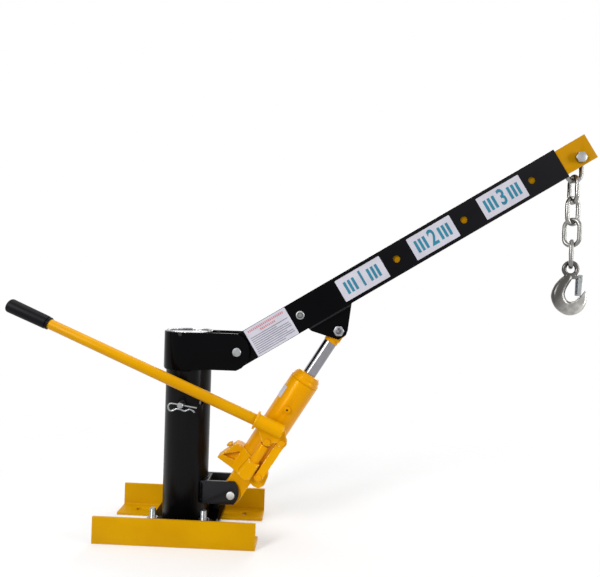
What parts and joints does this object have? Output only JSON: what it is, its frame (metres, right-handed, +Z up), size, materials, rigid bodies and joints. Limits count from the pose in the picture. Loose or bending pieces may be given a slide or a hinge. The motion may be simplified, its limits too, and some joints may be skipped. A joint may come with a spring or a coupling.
{
  "type": "fixed hydraulic jib crane",
  "caption": "Bolt-down jib crane: a turning mast with a hinged telescopic boom, raised by a hand-pumped hydraulic jack, and a chain with a latched hook",
  "frame": {"origin": "on the floor plane, under the middle of the crane's overall box with the boom at its drawn height", "axes": "+X points from the mast along the boom, +Y points to the back, away from the pump handle, +Z is up"},
  "size_m": [1.1202, 0.18, 0.7978],
  "materials": {
    "yellow_paint": "gloss",
    "mustard_paint": "satin",
    "black_paint": "gloss",
    "zinc_plate": "zinc plated",
    "chrome_plate": "polished",
    "bare_steel": "oiled",
    "bronze": "oiled",
    "black_rubber": "matt"
  },
  "bodies": {
    "base": {"front_angle": "mustard_paint", "back_angle": "mustard_paint", "base_plate": "black_paint", "base_post": "bare_steel", "thrust_washer": "bronze", "base_stud_1": "zinc_plate", "base_stud_2": "zinc_plate", "base_stud_3": "zinc_plate", "base_stud_4": "zinc_plate", "base_nut_1": "zinc_plate", "base_nut_2": "zinc_plate", "base_nut_3": "zinc_plate", "base_nut_4": "zinc_plate"},
    "mast": {"mast_tube": "black_paint", "mast_cap": "black_paint", "mast_bush": "bronze", "swivel_hub": "bare_steel", "lock_pin": "zinc_plate", "spring_clip": "zinc_plate", "head_bracket": "black_paint", "foot_clevis": "black_paint", "boom_pivot_pin": "zinc_plate", "jack_foot_pin": "zinc_plate"},
    "boom": {"outer_boom": "black_paint", "jack_yoke": "black_paint", "yoke_bolt": "zinc_plate", "yoke_nut": "zinc_plate", "boom_lock_pin": "zinc_plate"},
    "extension": {"inner_boom": "yellow_paint", "tip_bolt": "zinc_plate", "tip_nut": "zinc_plate"},
    "link_1": {"chain_link_1": "zinc_plate"},
    "link_2": {"chain_link_2": "zinc_plate"},
    "link_3": {"chain_link_3": "zinc_plate"},
    "link_4": {"chain_link_4": "zinc_plate"},
    "link_5": {"chain_link_5": "zinc_plate"},
    "hook": {"hook": "zinc_plate", "latch_pin": "zinc_plate"},
    "latch": {"hook_latch": "zinc_plate"},
    "jack": {"jack_base": "yellow_paint", "reservoir": "yellow_paint", "pressure_cylinder": "bare_steel", "cylinder_head": "yellow_paint", "filler_plug": "yellow_paint", "pump_barrel": "yellow_paint", "link_pin": "yellow_paint"},
    "ram": {"jack_rod": "chrome_plate", "rod_eye": "yellow_paint", "piston": "bare_steel", "piston_seal": "black_rubber"},
    "pump_link": {"pump_link": "yellow_paint"},
    "lever": {"handle_socket": "yellow_paint", "lever_pin": "yellow_paint", "plunger_pin": "yellow_paint"},
    "plunger": {"pump_plunger": "zinc_plate"},
    "handle": {"handle_tube": "yellow_paint", "handle_grip": "black_rubber"},
    "valve": {"release_valve": "yellow_paint"}
  },
  "joints": [
    {"name": "mast_swivel", "type": "hinge", "parent": "base", "child": "mast", "pos_m": [-0.22011, 0, 0.2], "axis": [0, 0, 1], "continuous": true},
    {"name": "boom_luff", "type": "hinge", "parent": "mast", "child": "boom", "pos_m": [-0.12011, 0, 0.358], "axis": [0, -1, 0], "range_deg": [-18, 20]},
    {"name": "boom_extend", "type": "slide", "parent": "boom", "child": "extension", "axis": [0.8471, 0, 0.5314], "range_m": [0, 0.51]},
    {"name": "link_1_swing", "type": "hinge", "parent": "extension", "child": "link_1", "pos_m": [0.52706, 0, 0.75275], "axis": [0, -1, 0], "range_deg": [-12, 20]},
    {"name": "link_2_swing", "type": "hinge", "parent": "link_1", "child": "link_2", "pos_m": [0.52706, 0, 0.7124], "axis": [1, 0, 0], "range_deg": [-20, 20]},
    {"name": "link_3_swing", "type": "hinge", "parent": "link_2", "child": "link_3", "pos_m": [0.52706, 0, 0.6703], "axis": [-0.0872, 0.9962, 0], "range_deg": [-20, 20]},
    {"name": "link_4_swing", "type": "hinge", "parent": "link_3", "child": "link_4", "pos_m": [0.52706, 0, 0.6282], "axis": [0.9063, 0.4226, 0], "range_deg": [-20, 20]},
    {"name": "link_5_swing", "type": "hinge", "parent": "link_4", "child": "link_5", "pos_m": [0.52706, 0, 0.5861], "axis": [0.7071, -0.7071, 0], "range_deg": [-20, 20]},
    {"name": "hook_swing", "type": "hinge", "parent": "link_5", "child": "hook", "pos_m": [0.52706, 0, 0.544], "axis": [0.4067, 0.9135, 0], "range_deg": [-25, 25]},
    {"name": "latch_open", "type": "hinge", "parent": "hook", "child": "latch", "pos_m": [0.54456, 0, 0.52495], "axis": [0, 1, 0], "range_deg": [0, 35], "stiffness_Nm_per_rad": 0.02, "springref_deg": -20.05},
    {"name": "jack_tilt", "type": "hinge", "parent": "mast", "child": "jack", "pos_m": [-0.12511, 0, 0.076], "axis": [0, -1, 0], "range_deg": [-6.7, 7.5]},
    {"name": "ram_slide", "type": "slide", "parent": "jack", "child": "ram", "axis": [0.522, 0, 0.8529], "range_m": [-0.0445, 0.0495]},
    {"name": "link_swing", "type": "hinge", "parent": "jack", "child": "pump_link", "pos_m": [-0.06888, 0, 0.1219], "axis": [0, 1, 0], "range_deg": [0, 1.9]},
    {"name": "handle_pump", "type": "hinge", "parent": "pump_link", "child": "lever", "pos_m": [-0.02522, 0, 0.19131], "axis": [0, 1, 0], "range_deg": [0, 50]},
    {"name": "plunger_slide", "type": "slide", "parent": "jack", "child": "plunger", "axis": [0.522, 0, 0.8529], "range_m": [0, 0.0246]},
    {"name": "handle_pull", "type": "slide", "parent": "lever", "child": "handle", "axis": [-0.9221, 0, 0.387], "range_m": [0, 0.12]},
    {"name": "valve_turn", "type": "hinge", "parent": "jack", "child": "valve", "pos_m": [-0.12983, 0, 0.16618], "axis": [-0.6044, 0, 0.7967], "range_deg": [0, 180]}
  ],
  "couplings": [
    {"joint": "jack_tilt", "follows": "boom_luff", "ratio": 0.37},
    {"joint": "ram_slide", "follows": "boom_luff", "m_per_rad": 0.1405},
    {"joint": "link_swing", "follows": "handle_pump", "ratio": 0.035},
    {"joint": "plunger_slide", "follows": "handle_pump", "m_per_rad": 0.028}
  ]
}
